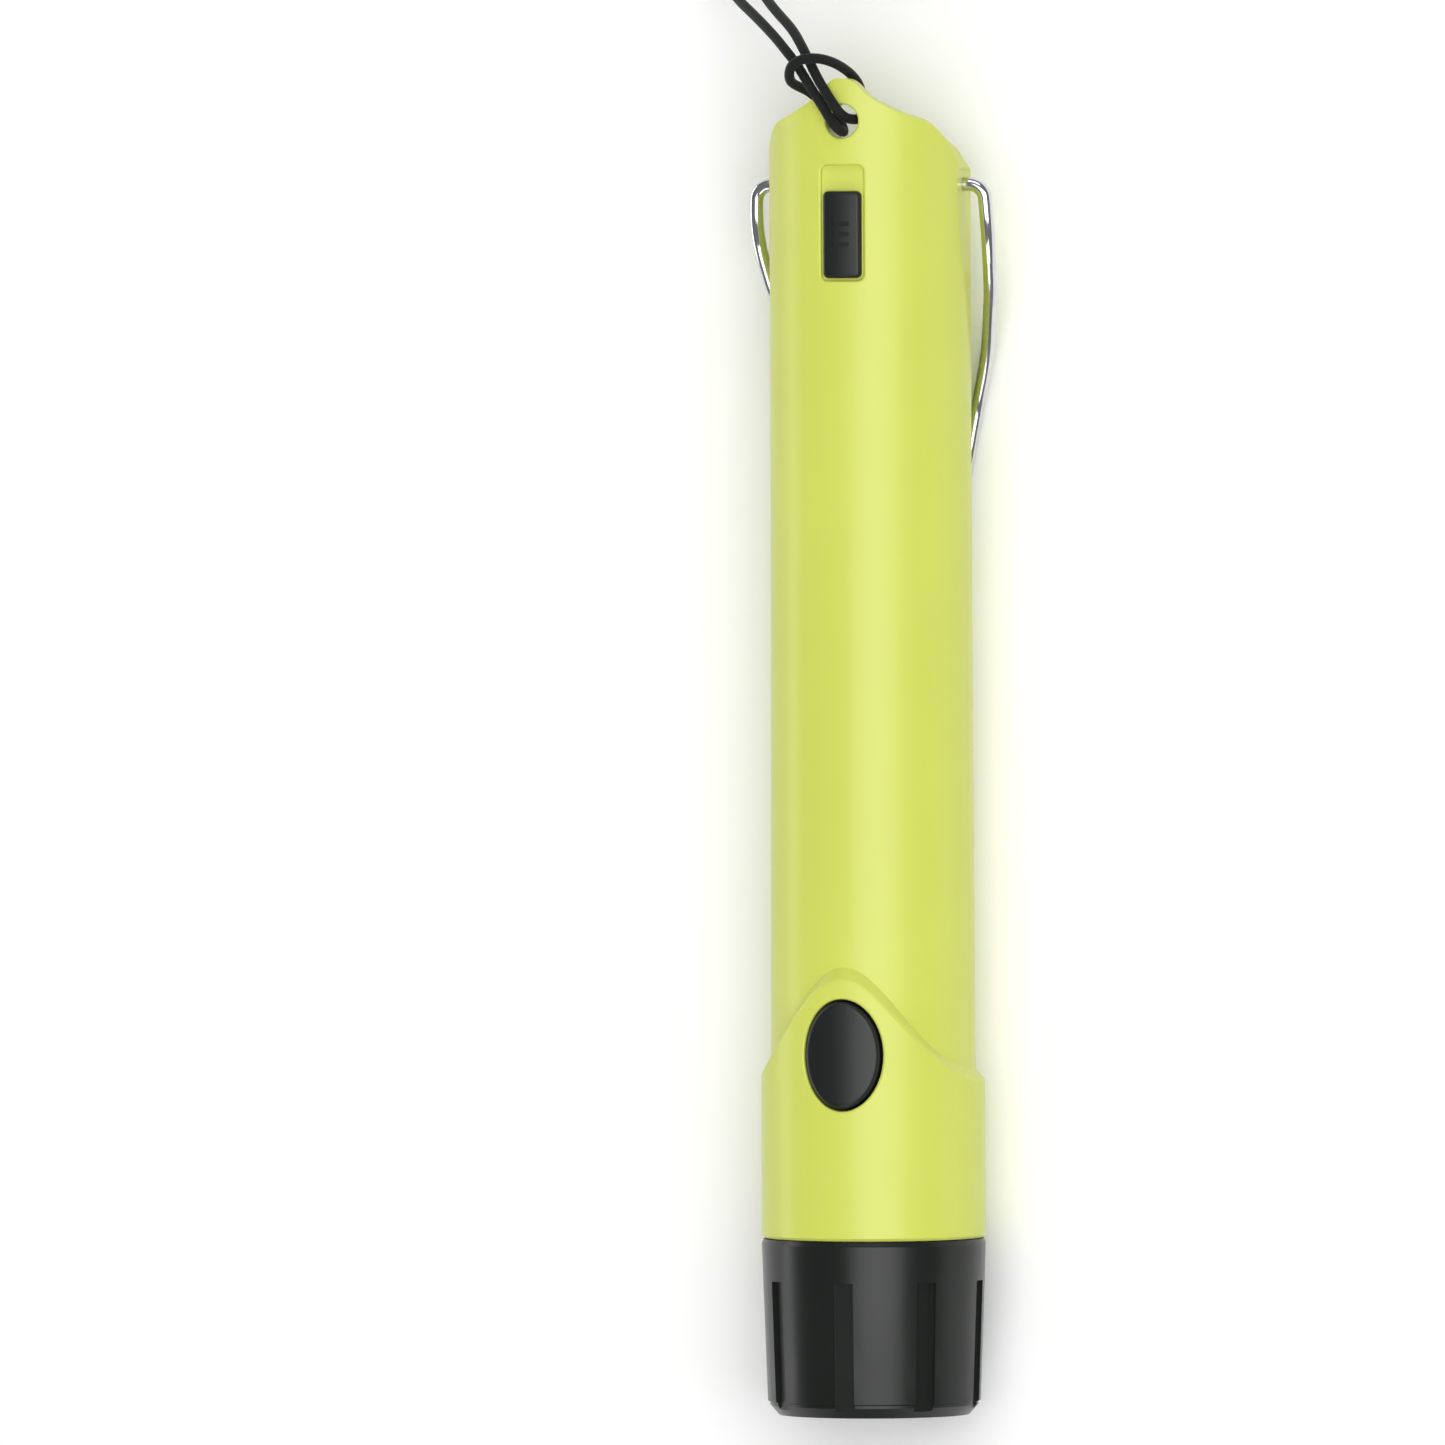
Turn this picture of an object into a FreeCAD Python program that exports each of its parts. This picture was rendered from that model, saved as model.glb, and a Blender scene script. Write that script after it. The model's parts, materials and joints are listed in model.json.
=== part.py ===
import FreeCAD, Part
import math
import os

from FreeCAD import Vector

# Pinpointer probe: a torch-shaped metal detector whose search coil sits in a ribbed screw cap.
#
# Every part is drawn standing on the tip: Z runs from the flat tip face towards the lanyard tab,
# the push button and the slide switch face -Y, and +X is to the right. Just before it is
# written, each part is laid on its back, so that the axis runs along +Y and the front faces +Z.
# The lanyard is the one thing drawn in place, because it hangs down to the surface below.
# All sizes are in millimetres.

# ---------------------------------------------------------------- driving dimensions
LENGTH = 226.9            # tip face to top of the lanyard tab
SLEEVE_R = 19.05          # thick lower sleeve, and the cap's collar
TUBE_R_LOW = 17.42        # slim upper tube where it leaves the sleeve
TUBE_R = 17.10            # slim upper tube over most of its length
TUBE_TAPER_END = 150.0    # height where the tube's taper ends
CAVITY_R = 14.6           # bore of the housing
CAVITY_TOP = 206.5

CAP_LENGTH = 30.1         # cap, from the tip face to its seam with the sleeve
CAP_R_TIP = 18.1          # the cap tapers to this just above its chamfer
CAP_FACE_R = 16.2         # flat face at the very tip
CAP_CHAMFER_Z = 2.2
CAP_STEP = 0.4            # small ledge between the ribs and the chamfer
RIB_TOP = 22.9            # the grooves start below this smooth collar
GROOVE_COUNT = 8
GROOVE_ANGLE = 10.8       # width of one groove, degrees
GROOVE_DEPTH = 0.9
SEAM_CHAMFER = 0.45

NECK_BOTTOM = 17.6        # lower end of the housing's threaded neck
NECK_R = 16.2
CAP_BORE_R = 17.15        # cap's bore over the neck
CAP_POCKET_R = 15.3       # cap's pocket for the coil
CAP_FLOOR = 2.6           # thickness of the cap's closed end
CAP_SHOULDER = 16.9       # ledge between pocket and bore

STEP_LOW = 57.7           # the sleeve's upper edge, away from the front
STEP_RISE = 17.6          # how far the edge climbs round the button
STEP_SPREAD = 42.5        # angle over which the rise fades, degrees
STEP_BAND = 2.1           # height of the sloping band
STEP_POINTS = 48          # points round the edge curve
STEP_ROUND = 0.8          # rounding of the sleeve's upper edge

BUTTON_Z = 61.6
BUTTON_HALF_X = 6.5
BUTTON_HALF_Z = 9.1
BUTTON_GAP = 0.4
BUTTON_CROWN_R = 19.5     # the button's face is a strip of a cylinder of this radius
BUTTON_ROUND = 0.9
BUTTON_TRAVEL = 1.2
BUTTON_RIM_ROUND = 0.4    # rounding of the housing's edge round the button

RECESS_X = 7.45           # slide switch recess: width, lower and upper end
RECESS_Z = (192.6, 212.2)
RECESS_DEPTH_Y = 15.9     # its floor, measured from the axis
RECESS_CORNER = 1.2
RECESS_ROUND = 0.4
KNOB_X = 6.6
KNOB_Z = (193.1, 207.8)
KNOB_FACE_R = 17.5
KNOB_STEM_Z = 200.45
KNOB_TRAVEL = 4.0
KNOB_ROUND = 0.7
GRIP_GROOVE_Z = (198.8, 200.5, 202.3)
GRIP_GROOVE_DEPTH = 0.5

TAB_HOLE_R = 2.85
TAB_HOLE_Z = 219.65
TAB_HOLE_ROUND = 0.35
LOOP_POCKET_HALF_X = 6.0  # clears the lanyard's loop behind the tab
LOOP_POCKET_Z = (216.8, 235.0)

CLIP_WIRE_R = 1.2
CLIP_PIN_Z = 209.0
CLIP_HOLE_R = 1.25
CLIP_PIN_INNER_X = 13.2
CLIP_BACK_Y = 17.85       # centre of the wire where it lies flat along the back

BATTERY_R = 7.25
BATTERY_LENGTH = 50.5
BATTERY_Y = 5.0           # the cells lie behind the probe's axis
BATTERY_Z = (26.0, 76.5)  # lower ends of the two cells

CHASSIS_R = 14.3
CHASSIS_WALL = 1.6
CHASSIS_Z = (20.4, 190.0)
BOARD_Y = -6.2            # front face of the main board
BOARD_THICKNESS = 1.2
BOARD_HALF_X = 10.0
BOARD_Z = (30.0, 205.5)

THREAD_PITCH = 3.0        # right-handed, one start
THREAD_HEIGHT = 0.7
THREAD_BASE = 1.2
THREAD_CREST = 0.6
NECK_THREAD = (19.4, 2.2)     # start height and number of turns
CAP_THREAD = (20.9, 1.6)

ORING_Z = 28.2
ORING_GROOVE_R = 15.25
ORING_SECTION_R = 0.85

SEAL_HALF_X = 7.7
SEAL_HALF_Z = 10.3
SEAL_Y = (-16.5, -15.2)
SEAL_GAP = 0.12

CLIP_PAD_HALF_X = 8.0         # shallow flat on the back under the clip's bend
CLIP_PAD_Y = 16.3
CLIP_PAD_Z = (145.4, 150.6)
CLIP_BEND_Z = 147.9           # lowest point of the clip

SLOT_HALF_X = 1.9             # slot through the wall for the knob's stem
SLOT_Z = (198.5, 206.4)

COIL_HUB_R = 6.0
COIL_FLANGE_R = 15.1
COIL_Z = (2.7, 14.2)
COIL_FLANGE = 1.3
COIL_POST_R = 1.6
COIL_POST_PITCH_R = 13.2
RING_BOARD_Z = (14.2, 15.4)
CONTACT_RINGS = ((4.0, 6.0), (8.5, 10.5))     # inner and outer radius of each ring
RING_THICKNESS = 0.3

PLATE_Z = (18.3, 19.9)        # contact plate in the mouth of the neck
BULKHEAD_Z = ((20.4, 22.4), (50.0, 52.0), (76.0, 78.0), (100.0, 102.0), (127.6, 130.0),
              (166.0, 168.0), (173.0, 175.0), (187.6, 190.0))
MOTOR_R = 3.5
MOTOR_Y = 3.0
MOTOR_Z = (164.0, 177.0)
SHAFT_R = 0.5
BUZZER_R = 6.0
BUZZER_Z = 148.0
M2_R = 1.0                    # small self-tapping screws
M2_HEAD_R = 1.9
FERRITE_R = 4.0
SPRING_PIN_R = 0.9
SPRING_PIN_X = (-5.0, 9.5)
PLATE_SCREW_X = (-8.6, 8.6)
PLATE_SCREW_Y = 9.0
SPRING_COIL_R = 4.0           # battery spring
SPRING_WIRE_R = 0.4
BOARD_SCREWS = ((-7.5, 36.0), (7.5, 36.0), (-7.5, 184.0), (7.5, 184.0))
CHIP_Z = 92.0
CAPACITOR_PLACES = ((-5.0, 126.0), (4.0, 132.0))
TACT_HEIGHT = 3.5
PLUNGER_R = 1.7
SLIDE_HEIGHT = 3.2
SLIDE_Z = (197.6, 206.2)
ACTUATOR_TIP_Y = -12.2
FLANGE_Y = (-12.2, -11.2)     # retaining flange of the push button
CORD_R = 0.85

# Route of the lanyard, laid on its back with the probe: X to the right, Y along the probe,
# Z up from the surface.  It leaves the hank, climbs to the tab, makes a girth hitch through
# the tab's hole and comes back beside itself.
LANYARD_ROUTE = [
    (-41, 147, 0.87), (-41, 142.4, 0.87), (-37.8, 137.4, 0.95), (-32.6, 133.6, 3.6),
    (-28.2, 130.4, 9.6), (-24, 127.3, 17.2), (-18.2, 124.2, 25.6), (-12.87, 120.59, 31.9),
    (-10.26, 118.45, 34.9), (-7.79, 116.11, 36.6), (-6.04, 113.4, 36.8), (-4.41, 110.69, 36.6),
    (-2.53, 107.98, 36.95), (-1.45, 106.4, 37.45), (-0.5, 105.17, 37.5), (0.15, 104.36, 36.3),
    (0.12, 104.36, 34.7), (-0.45, 105.1, 33.4), (-1.35, 106.15, 32), (-2.5, 107.2, 30.6),
    (-3.95, 108.3, 29.6), (-5.61, 109.54, 29.2), (-7.01, 111.26, 31), (-7.99, 112.07, 34.2),
    (-9.03, 113.04, 36.6), (-8.24, 115.46, 38.6), (-6.28, 116.58, 39.2), (-4.39, 116.85, 39),
    (-2.57, 116.66, 37.4), (-0.99, 115.86, 35), (0.23, 114.54, 32), (1.01, 113.07, 29.9),
    (1.5, 111.44, 29.2), (2.21, 108.9, 29.2), (2.34, 106.96, 30.2), (1.57, 106.4, 32.9),
    (0.71, 106.71, 35.9), (-0.23, 108, 37.5), (-2.13, 110.71, 37.1), (-3.84, 113.42, 37),
    (-5.15, 116.13, 37.1), (-6.91, 118.64, 35.4), (-10, 121.85, 31), (-14.6, 124.8, 24.8),
    (-19.4, 127.8, 16.6), (-23, 131, 8.8), (-26.2, 134.6, 3.2), (-28.6, 138.4, 0.9),
    (-29.8, 142.6, 0.87), (-29.8, 147, 0.87)]
HANK_X = (-43.2, -26.8)
HANK_Y = (147.0, 183.6)
HANK_HEIGHT = 3.6
TIE_HALF_Y = 2.2
TIE_THICKNESS = 0.6
KNOT_R = 2.7


# ---------------------------------------------------------------- plain shapes
def cylinder(radius, z0, z1, x=0.0, y=0.0):
    return Part.makeCylinder(radius, z1 - z0, Vector(x, y, z0))


def ring(outer, inner, z0, z1, x=0.0, y=0.0):
    return cylinder(outer, z0, z1, x, y).cut(cylinder(inner, z0 - 1, z1 + 1, x, y))


def block(x0, x1, y0, y1, z0, z1):
    return Part.makeBox(x1 - x0, y1 - y0, z1 - z0, Vector(x0, y0, z0))


def cylinder_x(radius, x0, x1, y, z):
    return Part.makeCylinder(radius, x1 - x0, Vector(x0, y, z), Vector(1, 0, 0))


def cylinder_y(radius, y0, y1, x, z):
    return Part.makeCylinder(radius, y1 - y0, Vector(x, y0, z), Vector(0, 1, 0))


def revolved(profile):
    corners = [Vector(radius, 0, z) for radius, z in profile]
    face = Part.Face(Part.makePolygon(corners + corners[:1]))
    return face.revolve(Vector(0, 0, 0), Vector(0, 0, 1), 360)


def oval_prism(half_x, half_z, centre_z, y0, y1):
    """Upright oval, drawn out along Y."""
    oval = Part.Wire(Part.Ellipse(Vector(0, 0, 0), half_z, half_x).toShape())
    oval.rotate(Vector(0, 0, 0), Vector(1, 1, 1), -120)
    oval.translate(Vector(0, y0, centre_z))
    return Part.Face(oval).extrude(Vector(0, y1 - y0, 0))


def rounded_block(half_x, y0, y1, z0, z1, corner):
    """Block whose four edges along Y are rounded."""
    body = block(-half_x, half_x, y0, y1, z0, z1)
    edges = [e for e in body.Edges if abs(e.tangentAt(e.FirstParameter).y) > 0.99]
    return body.makeFillet(corner, edges)


def spline_edge(points):
    curve = Part.BSplineCurve()
    curve.interpolate(points)
    return curve.toShape()


def fused(shapes):
    result = shapes[0].multiFuse(shapes[1:]) if len(shapes) > 1 else shapes[0]
    return result.removeSplitter()


def group(shapes):
    return Part.makeCompound(shapes)


# ---------------------------------------------------------------- round wire and cord
def rounded_path(points, radii):
    """Straight runs joined by tangent arcs: one radius for each point between the ends."""
    edges = []
    start = points[0]
    for index in range(1, len(points) - 1):
        corner = points[index]
        back = (points[index - 1] - corner).normalize()
        ahead = (points[index + 1] - corner).normalize()
        turn = math.pi - back.getAngle(ahead)
        reach = radii[index - 1] * math.tan(turn / 2)
        entry = corner + back * reach
        leave = corner + ahead * reach
        middle = (back + ahead).normalize()
        depth = radii[index - 1] * (1 / math.cos(turn / 2) - 1)
        edges.append(Part.LineSegment(start, entry).toShape())
        edges.append(Part.Arc(entry, corner + middle * depth, leave).toShape())
        start = leave
    edges.append(Part.LineSegment(start, points[-1]).toShape())
    return Part.Wire(edges)


def round_bar(path, radius):
    """Solid of round section along a path."""
    first = path.Edges[0]
    start = first.valueAt(first.FirstParameter)
    section = Part.Wire(Part.Circle(start, first.tangentAt(first.FirstParameter), radius).toShape())
    return path.makePipeShell([section], True, True)


def largest_radii(points):
    """The largest arc at each point: 0.45 of the shorter run over the tangent of half the turn."""
    radii = []
    for before, corner, after in zip(points, points[1:], points[2:]):
        turn = (corner - before).getAngle(after - corner)
        shorter = min((corner - before).Length, (after - corner).Length)
        radii.append(0.45 * shorter / math.tan(turn / 2))
    return radii


def thread_ridge(radius, outward, z0, turns):
    """Helical ridge standing on a cylinder: outward is 1 on a shaft and -1 in a bore."""
    root = radius - outward * 0.15
    crest = radius + outward * THREAD_HEIGHT
    corners = [Vector(root, 0, -THREAD_BASE / 2), Vector(crest, 0, -THREAD_CREST / 2),
               Vector(crest, 0, THREAD_CREST / 2), Vector(root, 0, THREAD_BASE / 2)]
    section = Part.makePolygon(corners + corners[:1])
    helix = Part.makeHelix(THREAD_PITCH, THREAD_PITCH * turns, radius)
    ridge = Part.Wire(helix.Edges).makePipeShell([section], True, True)
    ridge.translate(Vector(0, 0, z0))
    return ridge


# ---------------------------------------------------------------- housing
def step_height(angle):
    off_front = min(angle, 360.0 - angle)
    return STEP_LOW + STEP_RISE * math.exp(-(off_front / STEP_SPREAD) ** 2)


def step_edge(radius):
    slope = STEP_BAND / (SLEEVE_R - TUBE_R_LOW)
    lift = ((SLEEVE_R + TUBE_R_LOW) / 2 - radius) * slope
    points = []
    for index in range(STEP_POINTS):
        angle = 360.0 * index / STEP_POINTS
        turn = math.radians(angle)
        height = step_height(angle) + lift
        points.append(Vector(radius * math.sin(turn), -radius * math.cos(turn), height))
    curve = Part.BSplineCurve()
    curve.interpolate(points, PeriodicFlag=True)
    return curve.toShape()


def sleeve():
    """The thick lower sleeve, whose upper edge climbs round the button."""
    blank = revolved([
        (0, CAP_LENGTH), (SLEEVE_R - SEAM_CHAMFER, CAP_LENGTH),
        (SLEEVE_R, CAP_LENGTH + SEAM_CHAMFER), (SLEEVE_R, 90), (0, 90)])
    ramp = Part.makeRuledSurface(step_edge(TUBE_R - 0.6), step_edge(SLEEVE_R + 2))
    above = ramp.extrude(Vector(0, 0, 60))
    body = blank.cut(above).common(cylinder(SLEEVE_R + 1, CAP_LENGTH, 78))
    rim = [e for e in body.Edges
           if e.BoundBox.ZLength > 10 and e.BoundBox.XLength > 10 and e.BoundBox.YMin < -18.9]
    return body.makeFillet(STEP_ROUND, rim)


def roof_front():
    """Outline of the top as seen from the front, drawn through from front to back."""
    half = [(0, 226.9), (1.2, 226.75), (2.3, 226.1), (3.6, 224.8), (5.0, 223.6), (6.4, 222.7),
            (8.6, 221.5), (10.8, 220.5), (12.9, 219.7), (14.5, 218.3), (15.7, 216.2), (16.6, 213.4),
            (17.3, 210.6), (18.4, 208.0)]
    left = [Vector(-x, -30, z) for x, z in reversed(half[1:])]
    right = [Vector(x, -30, z) for x, z in half]
    top = spline_edge(left + right)
    low_left, low_right = Vector(-18.4, -30, 10), Vector(18.4, -30, 10)
    sides = Part.makePolygon([right[-1], low_right, low_left, left[0]])
    return Part.Face(Part.Wire([top] + sides.Edges)).extrude(Vector(0, 60, 0))


def roof_side():
    """Outline of the top as seen from the side: the roof falls away behind the tab."""
    roof = [(-13.6, 227.8), (-13.2, 224.0), (-12.2, 222.2), (-10.4, 221.2), (-9.0, 219.2),
            (-7.8, 217.4), (-5.5, 216.1), (-2.0, 214.7), (1.0, 212.6), (5, 211.2), (18.4, 210.2)]
    points = [Vector(-30, y, z) for y, z in roof]
    top = spline_edge(points)
    corners = [points[-1], Vector(-30, 18.4, 10), Vector(-30, -18.4, 10),
               Vector(-30, -18.4, 230), Vector(-30, points[0].y, 230), points[0]]
    rest = Part.makePolygon(corners)
    return Part.Face(Part.Wire([top] + rest.Edges)).extrude(Vector(60, 0, 0))


def front_edges(shape, half_x, half_z, middle_z, deepest):
    """Edges on the front that lie inside a frame and in front of a given plane."""
    found = []
    for edge in shape.Edges:
        box = edge.BoundBox
        across = max(-box.XMin, box.XMax) < half_x
        along = max(middle_z - box.ZMin, box.ZMax - middle_z) < half_z
        if across and along and box.YMax < deepest:
            found.append(edge)
    return found


def main_housing():
    """One yellow moulding: neck, sleeve, tube, roof and lanyard tab."""
    tube = revolved([
        (0, NECK_BOTTOM), (NECK_R - 0.5, NECK_BOTTOM), (NECK_R, NECK_BOTTOM + 0.5),
        (NECK_R, CAP_LENGTH + 1), (TUBE_R_LOW, CAP_LENGTH + 1), (TUBE_R_LOW, STEP_LOW),
        (TUBE_R, TUBE_TAPER_END), (TUBE_R, 228), (0, 228)])
    tube = tube.common(roof_front()).common(roof_side())
    body = tube.fuse(sleeve())
    body = body.cut(housing_cutters())
    recess_middle, recess_half = sum(RECESS_Z) / 2, (RECESS_Z[1] - RECESS_Z[0]) / 2
    for rounding, half_x, half_z, middle_z in (
            (TAB_HOLE_ROUND, TAB_HOLE_R, TAB_HOLE_R, TAB_HOLE_Z),
            (RECESS_ROUND, RECESS_X / 2, recess_half, recess_middle),
            (BUTTON_RIM_ROUND, BUTTON_HALF_X + BUTTON_GAP, BUTTON_HALF_Z + BUTTON_GAP, BUTTON_Z)):
        rim = front_edges(body, half_x + 0.15, half_z + 0.15, middle_z, -RECESS_DEPTH_Y - 0.4)
        body = body.makeFillet(rounding, rim)
    return body.fuse(thread_ridge(NECK_R, 1, *NECK_THREAD))


def housing_cutters():
    """Everything that is hollowed out of the housing."""
    cutters = [
        cylinder(CAVITY_R, NECK_BOTTOM - 1, CAVITY_TOP),
        ring(NECK_R + 1, ORING_GROOVE_R, ORING_Z - 1.0, ORING_Z + 1.0),
        oval_prism(BUTTON_HALF_X + BUTTON_GAP, BUTTON_HALF_Z + BUTTON_GAP, BUTTON_Z, -30, -10),
        oval_prism(SEAL_HALF_X, SEAL_HALF_Z, BUTTON_Z, SEAL_Y[0], SEAL_Y[1]),
        rounded_block(RECESS_X / 2, -30, -RECESS_DEPTH_Y, *RECESS_Z, RECESS_CORNER),
        block(-SLOT_HALF_X, SLOT_HALF_X, -RECESS_DEPTH_Y - 1, -10, *SLOT_Z),
        cylinder_y(TAB_HOLE_R, -30, -4, 0, TAB_HOLE_Z),
        rounded_block(LOOP_POCKET_HALF_X, -13.5, -6.0, *LOOP_POCKET_Z, 2.0),
        rounded_block(CLIP_PAD_HALF_X, CLIP_PAD_Y, 30, *CLIP_PAD_Z, 1.0),
    ]
    for side in (-1, 1):
        inner, outer = sorted((side * (CLIP_PIN_INNER_X - 0.3), side * 30))
        cutters.append(cylinder_x(CLIP_HOLE_R, inner, outer, 0, CLIP_PIN_Z))
        flat = [(17.15, 188), (16.6, 208.5), (16.6, 211.4), (17.4, 212.2), (24, 212.2), (24, 188)]
        corners = [Vector(side * x, -8, z) for x, z in flat]
        face = Part.Face(Part.makePolygon(corners + corners[:1]))
        cutters.append(face.extrude(Vector(0, 16, 0)))
    return group(cutters)


def neck_oring():
    return Part.makeTorus(ORING_GROOVE_R + ORING_SECTION_R, ORING_SECTION_R, Vector(0, 0, ORING_Z))


def button_seal():
    outer = oval_prism(SEAL_HALF_X - 0.02, SEAL_HALF_Z - 0.02, BUTTON_Z, *SEAL_Y)
    inner = oval_prism(BUTTON_HALF_X + SEAL_GAP, BUTTON_HALF_Z + SEAL_GAP, BUTTON_Z, -30, -10)
    return outer.cut(inner)


# ---------------------------------------------------------------- screw cap and search coil
def ribbed_cap():
    shell = revolved([
        (0, 0), (CAP_FACE_R, 0), (CAP_R_TIP - CAP_STEP, CAP_CHAMFER_Z - 0.5),
        (CAP_R_TIP - CAP_STEP, CAP_CHAMFER_Z), (CAP_R_TIP, CAP_CHAMFER_Z + 0.2),
        (SLEEVE_R, CAP_LENGTH - 1.0), (SLEEVE_R - 0.3, CAP_LENGTH - 0.15),
        (CAP_BORE_R, CAP_LENGTH - 0.15), (CAP_BORE_R, CAP_SHOULDER),
        (CAP_POCKET_R, CAP_SHOULDER), (CAP_POCKET_R, CAP_FLOOR), (0, CAP_FLOOR)])
    slope = (SLEEVE_R - CAP_R_TIP) / (CAP_LENGTH - CAP_CHAMFER_Z)
    low, high = CAP_CHAMFER_Z - 1.2, RIB_TOP
    inner_low = CAP_R_TIP - GROOVE_DEPTH + slope * (low - CAP_CHAMFER_Z)
    inner_high = CAP_R_TIP - GROOVE_DEPTH + slope * (high - CAP_CHAMFER_Z)
    half = SLEEVE_R * math.sin(math.radians(GROOVE_ANGLE / 2))
    corners = [Vector(-half, -inner_low, low), Vector(-half, -inner_high, high),
               Vector(-half, -25, high), Vector(-half, -25, low)]
    groove = Part.Face(Part.makePolygon(corners + corners[:1])).extrude(Vector(2 * half, 0, 0))
    grooves = []
    for index in range(GROOVE_COUNT):
        turned = groove.copy()
        turned.rotate(Vector(0, 0, 0), Vector(0, 0, 1), 360.0 * index / GROOVE_COUNT)
        grooves.append(turned)
    return shell.cut(group(grooves)).fuse(thread_ridge(CAP_BORE_R, -1, *CAP_THREAD))


def post_places(radius, count, start=90.0):
    """Centres of evenly spaced posts or screws on a circle."""
    for index in range(count):
        turn = math.radians(start + 360.0 * index / count)
        yield radius * math.cos(turn), radius * math.sin(turn)


def coil_bobbin():
    low, high = COIL_Z
    spool = [cylinder(COIL_FLANGE_R, low, low + COIL_FLANGE),
             cylinder(COIL_FLANGE_R, high - COIL_FLANGE, high),
             cylinder(COIL_HUB_R, low, high)]
    holes = [cylinder(FERRITE_R + 0.1, low - 1, high + 1)]
    for x, y in post_places(COIL_POST_PITCH_R, 3):
        spool.append(cylinder(COIL_POST_R, low, high, x, y))
        holes.append(cylinder(M2_R * 0.85, high - 6, high + 1, x, y))
    return fused(spool).cut(group(holes))


def coil_winding():
    low, high = COIL_Z[0] + COIL_FLANGE, COIL_Z[1] - COIL_FLANGE
    return ring(COIL_POST_PITCH_R - COIL_POST_R - 0.2, COIL_HUB_R, low, high)


def ferrite_core():
    return cylinder(FERRITE_R, COIL_Z[0], COIL_Z[1] - 0.2)


def ring_board():
    low, high = RING_BOARD_Z
    holes = [cylinder(M2_R + 0.1, low - 1, high + 1, x, y)
             for x, y in post_places(COIL_POST_PITCH_R, 3)]
    return cylinder(COIL_FLANGE_R, low, high).cut(group(holes))


def contact_rings():
    top = RING_BOARD_Z[1]
    return group([ring(outer, inner, top, top + RING_THICKNESS) for inner, outer in CONTACT_RINGS])


def pan_screw(x, y, seat, depth, up=1):
    """Small screw along Z; its head stands on the seat, above it or below it."""
    if up > 0:
        parts = [cylinder(M2_HEAD_R, seat, seat + 0.9, x, y),
                 cylinder(M2_R * 0.84, seat - depth, seat, x, y)]
        slot = block(x - M2_HEAD_R, x + M2_HEAD_R, y - 0.25, y + 0.25, seat + 0.5, seat + 1)
    else:
        parts = [cylinder(M2_HEAD_R, seat - 0.9, seat, x, y),
                 cylinder(M2_R * 0.84, seat, seat + depth, x, y)]
        slot = block(x - M2_HEAD_R, x + M2_HEAD_R, y - 0.25, y + 0.25, seat - 1, seat - 0.5)
    return fused(parts).cut(slot)


def coil_screws():
    return group([pan_screw(x, y, RING_BOARD_Z[1], 6.0)
                  for x, y in post_places(COIL_POST_PITCH_R, 3)])


def cap_washer():
    return ring(CAP_BORE_R - 0.3, CAP_POCKET_R + 0.15, CAP_SHOULDER, CAP_SHOULDER + 0.5)


# ---------------------------------------------------------------- chassis and electronics
def front_of(y):
    """Everything in front of a plane, inside the tube."""
    return block(-20, 20, -20, y, 0, 230)


def chassis():
    low, high = CHASSIS_Z
    front = BOARD_Y + BOARD_THICKNESS
    outer = cylinder(CHASSIS_R, low, high).cut(front_of(front))
    hollow = cylinder(CHASSIS_R - CHASSIS_WALL, low - 1, high + 1)
    hollow = hollow.cut(front_of(front + CHASSIS_WALL))
    walls = [hollow.common(block(-20, 20, -20, 20, *span)) for span in BULKHEAD_Z]
    body = fused([outer.cut(hollow)] + walls)
    cutters = [cylinder(BATTERY_R + 0.35, low - 1, BULKHEAD_Z[4][0], 0, BATTERY_Y),
               cylinder(MOTOR_R + 0.05, MOTOR_Z[0] - 1, BULKHEAD_Z[-1][0], 0, MOTOR_Y)]
    for x, z in BOARD_SCREWS:
        cutters.append(cylinder_y(M2_R * 0.85, front - 1, front + CHASSIS_WALL + 0.4, x, z))
    for x in PLATE_SCREW_X:
        cutters.append(cylinder(M2_R * 0.85, low - 1, low + 3.6, x, PLATE_SCREW_Y))
    return body.cut(group(cutters))


def contact_plate():
    low, high = PLATE_Z
    plate = cylinder(CHASSIS_R, low, high)
    holes = [cylinder(SPRING_PIN_R, low - 1, high + 1, x, 0) for x in SPRING_PIN_X]
    holes += [cylinder(M2_R + 0.1, low - 1, high + 1, x, PLATE_SCREW_Y) for x in PLATE_SCREW_X]
    return plate.cut(group(holes))


def spring_pins():
    """Two spring-loaded pins whose tips press on the cap's contact rings."""
    tip = RING_BOARD_Z[1] + RING_THICKNESS + 0.05
    pins = []
    for x in SPRING_PIN_X:
        pins.append(fused([cylinder(SPRING_PIN_R, PLATE_Z[0] - 0.6, PLATE_Z[1], x, 0),
                           cylinder(SPRING_PIN_R * 0.6, tip, PLATE_Z[0], x, 0)]))
    return group(pins)


def plate_screws():
    return group([pan_screw(x, PLATE_SCREW_Y, PLATE_Z[0], 3.6, up=-1) for x in PLATE_SCREW_X])


def battery(low):
    can = cylinder(BATTERY_R, low, low + BATTERY_LENGTH - 1.2, 0, BATTERY_Y)
    edges = [e for e in can.Edges if abs(e.Length - 2 * math.pi * BATTERY_R) < 0.01]
    can = can.makeFillet(0.6, edges)
    nub = cylinder(2.75, low + BATTERY_LENGTH - 1.2, low + BATTERY_LENGTH, 0, BATTERY_Y)
    return fused([can, nub])


def battery_spring():
    """Coil spring between the contact plate and the first cell."""
    span = BATTERY_Z[0] - PLATE_Z[1] - 2 * SPRING_WIRE_R
    turns = 3
    helix = Part.makeHelix(span / turns, span, SPRING_COIL_R)
    section = Part.Circle(Vector(SPRING_COIL_R, 0, 0), Vector(0, 1, 0), SPRING_WIRE_R).toShape()
    spring = Part.Wire(helix.Edges).makePipeShell([Part.Wire(section)], True, True)
    spring.translate(Vector(0, BATTERY_Y, PLATE_Z[1] + SPRING_WIRE_R))
    return spring


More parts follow.
